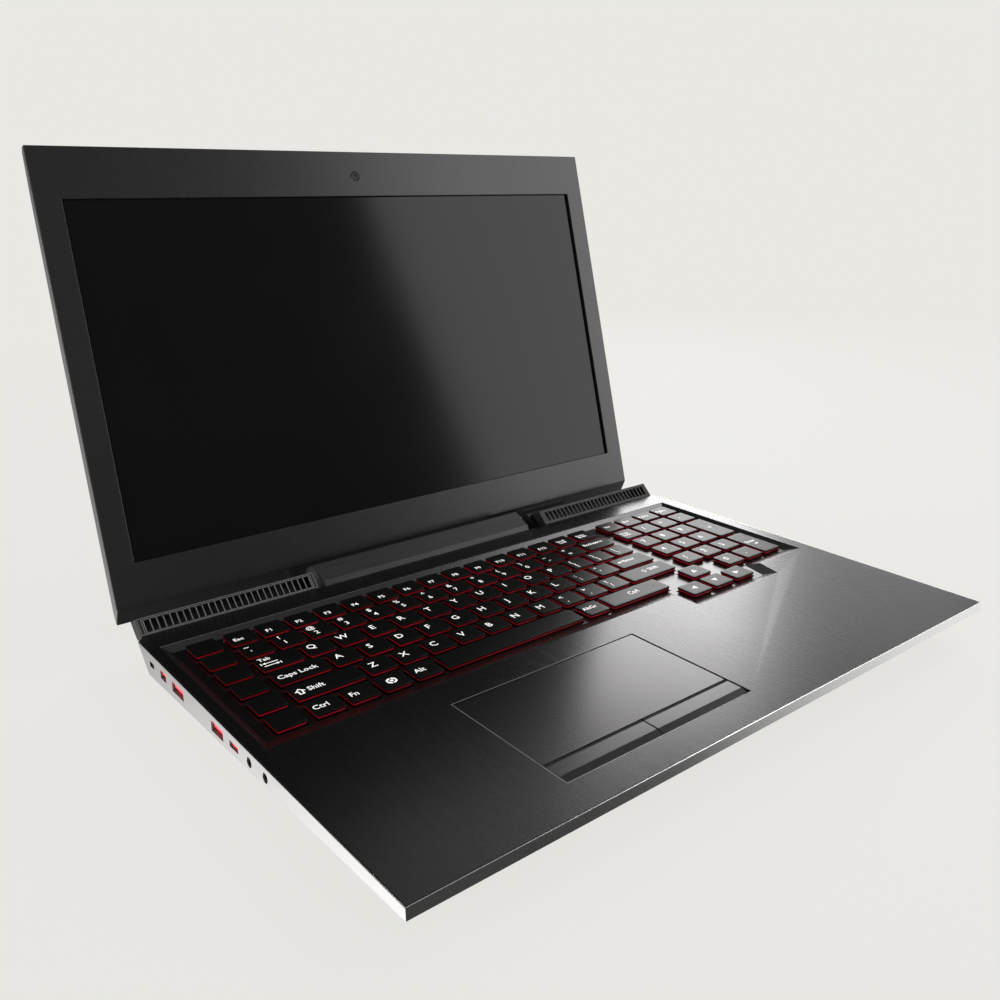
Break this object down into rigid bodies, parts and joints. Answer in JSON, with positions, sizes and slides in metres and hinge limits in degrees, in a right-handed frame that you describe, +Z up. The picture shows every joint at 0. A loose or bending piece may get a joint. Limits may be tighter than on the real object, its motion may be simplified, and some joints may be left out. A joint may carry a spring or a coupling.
{
  "type": "laptop computer",
  "caption": "Laptop computer, open: hinged screen lid over a deck with full keyboard, touch pad, rear air vents, side sockets and rubber feet.",
  "frame": {"origin": "centre of the open computer's bounding box at table level, under the rubber feet", "axes": "+X to the user's right along the width, +Y from the front edge to the hinge, +Z up"},
  "size_m": [0.4134, 0.3904, 0.2923],
  "materials": {
    "silver": "satin brushed",
    "deck": "dark anodised, brushed",
    "black": "matt",
    "lid": "dark anodised, brushed",
    "bezel": "satin",
    "screen": "gloss, switched off",
    "glass": "gloss",
    "key": "satin",
    "port": "dark",
    "steel": "satin",
    "copper": "bare copper",
    "alu": "bare",
    "board": "circuit board",
    "cell": "wrapped cells",
    "rubber": "matt"
  },
  "bodies": {
    "base": {"side_frame": "silver", "bottom_cover": "black", "palmrest_deck": "deck", "vent_block_left": "black", "vent_block_right": "black", "hinge_housing": "lid", "keyboard_backplate": "steel", "touch_pad": "deck", "touch_pad_board": "board", "port_display_small": "port", "port_display_large": "port", "port_type_a_left": "port", "port_type_c": "port", "network_socket": "port", "port_type_a_right": "port", "audio_jack_rear": "port", "audio_jack_front": "port", "power_inlet": "port", "main_board": "board", "memory_module": "board", "storage_module": "board", "wireless_card": "board", "battery_pack": "cell", "speaker_left": "black", "speaker_right": "black", "fan_housing_left": "black", "fan_housing_right": "black", "fin_stack_left": "alu", "fin_stack_right": "alu", "heat_pipe": "copper", "foot_front": "rubber", "foot_rear_left": "rubber", "foot_rear_right": "rubber", "case_screw_1": "steel", "case_screw_2": "steel", "case_screw_3": "steel", "case_screw_4": "steel"},
    "lid": {"lid_bezel": "bezel", "lid_back_cover": "lid", "display_panel": "screen", "webcam_module": "glass", "hinge_arm_left": "steel", "hinge_arm_right": "steel"},
    "keys_macro": {"keys_macro": "key"},
    "keys_function": {"keys_function": "key"},
    "keys_number": {"keys_number": "key"},
    "keys_upper": {"keys_upper": "key"},
    "keys_home": {"keys_home": "key"},
    "keys_lower": {"keys_lower": "key"},
    "keys_bottom_left": {"keys_bottom_left": "key"},
    "space_bar": {"space_bar": "key"},
    "keys_bottom_right": {"keys_bottom_right": "key"},
    "keys_arrow": {"keys_arrow": "key"},
    "keys_number_pad": {"keys_number_pad": "key"},
    "touch_pad_button_left": {"touch_pad_button_left": "deck"},
    "touch_pad_button_right": {"touch_pad_button_right": "deck"},
    "power_button": {"power_button": "silver"},
    "fan_rotor_left": {"fan_rotor_left": "black"},
    "fan_rotor_right": {"fan_rotor_right": "black"}
  },
  "joints": [
    {"name": "lid_hinge", "type": "hinge", "parent": "base", "child": "lid", "pos_m": [0, 0.1023, 0.0098], "axis": [1, 0, 0], "range_deg": [-20, 104.16]},
    {"name": "keys_macro_press", "type": "slide", "parent": "base", "child": "keys_macro", "axis": [0, 0, -1], "range_m": [0, 0.0015], "stiffness_N_per_m": 800, "springref_m": -0.002},
    {"name": "keys_function_press", "type": "slide", "parent": "base", "child": "keys_function", "axis": [0, 0, -1], "range_m": [0, 0.0015], "stiffness_N_per_m": 800, "springref_m": -0.002},
    {"name": "keys_number_press", "type": "slide", "parent": "base", "child": "keys_number", "axis": [0, 0, -1], "range_m": [0, 0.0015], "stiffness_N_per_m": 800, "springref_m": -0.002},
    {"name": "keys_upper_press", "type": "slide", "parent": "base", "child": "keys_upper", "axis": [0, 0, -1], "range_m": [0, 0.0015], "stiffness_N_per_m": 800, "springref_m": -0.002},
    {"name": "keys_home_press", "type": "slide", "parent": "base", "child": "keys_home", "axis": [0, 0, -1], "range_m": [0, 0.0015], "stiffness_N_per_m": 800, "springref_m": -0.002},
    {"name": "keys_lower_press", "type": "slide", "parent": "base", "child": "keys_lower", "axis": [0, 0, -1], "range_m": [0, 0.0015], "stiffness_N_per_m": 800, "springref_m": -0.002},
    {"name": "keys_bottom_left_press", "type": "slide", "parent": "base", "child": "keys_bottom_left", "axis": [0, 0, -1], "range_m": [0, 0.0015], "stiffness_N_per_m": 800, "springref_m": -0.002},
    {"name": "space_bar_press", "type": "slide", "parent": "base", "child": "space_bar", "axis": [0, 0, -1], "range_m": [0, 0.0015], "stiffness_N_per_m": 800, "springref_m": -0.002},
    {"name": "keys_bottom_right_press", "type": "slide", "parent": "base", "child": "keys_bottom_right", "axis": [0, 0, -1], "range_m": [0, 0.0015], "stiffness_N_per_m": 800, "springref_m": -0.002},
    {"name": "keys_arrow_press", "type": "slide", "parent": "base", "child": "keys_arrow", "axis": [0, 0, -1], "range_m": [0, 0.0015], "stiffness_N_per_m": 800, "springref_m": -0.002},
    {"name": "keys_number_pad_press", "type": "slide", "parent": "base", "child": "keys_number_pad", "axis": [0, 0, -1], "range_m": [0, 0.0015], "stiffness_N_per_m": 800, "springref_m": -0.002},
    {"name": "touch_pad_button_left_press", "type": "slide", "parent": "base", "child": "touch_pad_button_left", "axis": [0, 0, -1], "range_m": [0, 0.0006], "stiffness_N_per_m": 1500, "springref_m": -0.0006},
    {"name": "touch_pad_button_right_press", "type": "slide", "parent": "base", "child": "touch_pad_button_right", "axis": [0, 0, -1], "range_m": [0, 0.0006], "stiffness_N_per_m": 1500, "springref_m": -0.0006},
    {"name": "power_button_press", "type": "slide", "parent": "base", "child": "power_button", "axis": [-1, 0, 0], "range_m": [0, 0.0006], "stiffness_N_per_m": 1000, "springref_m": -0.0006},
    {"name": "fan_left_spin", "type": "hinge", "parent": "base", "child": "fan_rotor_left", "pos_m": [-0.15465, 0.0428, 0.01], "axis": [0, 0, 1], "continuous": true},
    {"name": "fan_right_spin", "type": "hinge", "parent": "base", "child": "fan_rotor_right", "pos_m": [0.15465, 0.0428, 0.01], "axis": [0, 0, 1], "continuous": true}
  ]
}
